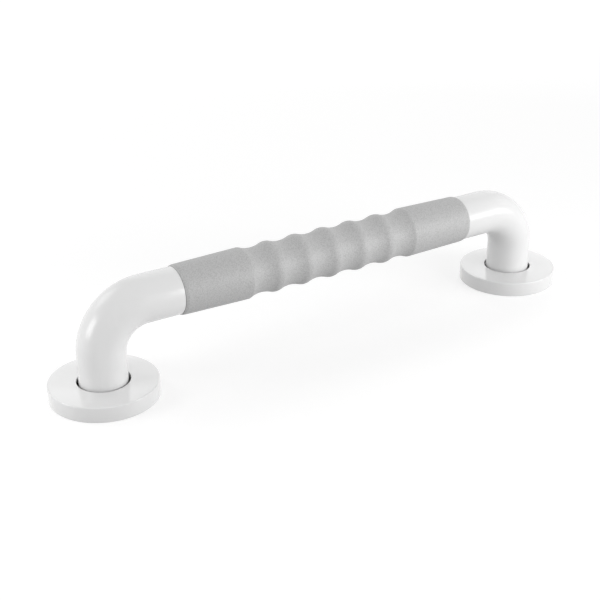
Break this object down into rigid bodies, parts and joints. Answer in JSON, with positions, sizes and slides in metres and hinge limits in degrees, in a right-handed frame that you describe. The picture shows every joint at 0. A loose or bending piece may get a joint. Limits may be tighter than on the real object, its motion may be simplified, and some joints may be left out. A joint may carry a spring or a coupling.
{
  "type": "grab bar",
  "caption": "Straight white grab bar with moulded elbows, a grey ridged soft grip in the middle and round flange covers that slide up the legs from the wall plates.",
  "frame": {"origin": "on the wall plane, midway between the two flanges", "axes": "+X along the bar towards the right flange, +Y across the bar, +Z away from the wall"},
  "size_m": [0.45, 0.079, 0.0854],
  "materials": {
    "tube_steel": "drawn steel tube, satin",
    "plate_steel": "pressed steel plate, satin",
    "white_shell": "moulded white plastic, glossy",
    "white_cover": "moulded white plastic, high gloss",
    "soft_grip": "matt grey soft plastic with a fine pebble grain"
  },
  "bodies": {
    "bar": {"core_tube": "tube_steel", "elbow_left": "white_shell", "elbow_right": "white_shell", "grip": "soft_grip", "plate_left": "plate_steel", "plate_right": "plate_steel"},
    "left_cover": {"cover_left": "white_cover"},
    "right_cover": {"cover_right": "white_cover"}
  },
  "joints": [
    {"name": "left_cover_slide", "type": "slide", "parent": "bar", "child": "left_cover", "axis": [0, 0, 1], "range_m": [0, 0.025]},
    {"name": "right_cover_slide", "type": "slide", "parent": "bar", "child": "right_cover", "axis": [0, 0, 1], "range_m": [0, 0.025]}
  ]
}
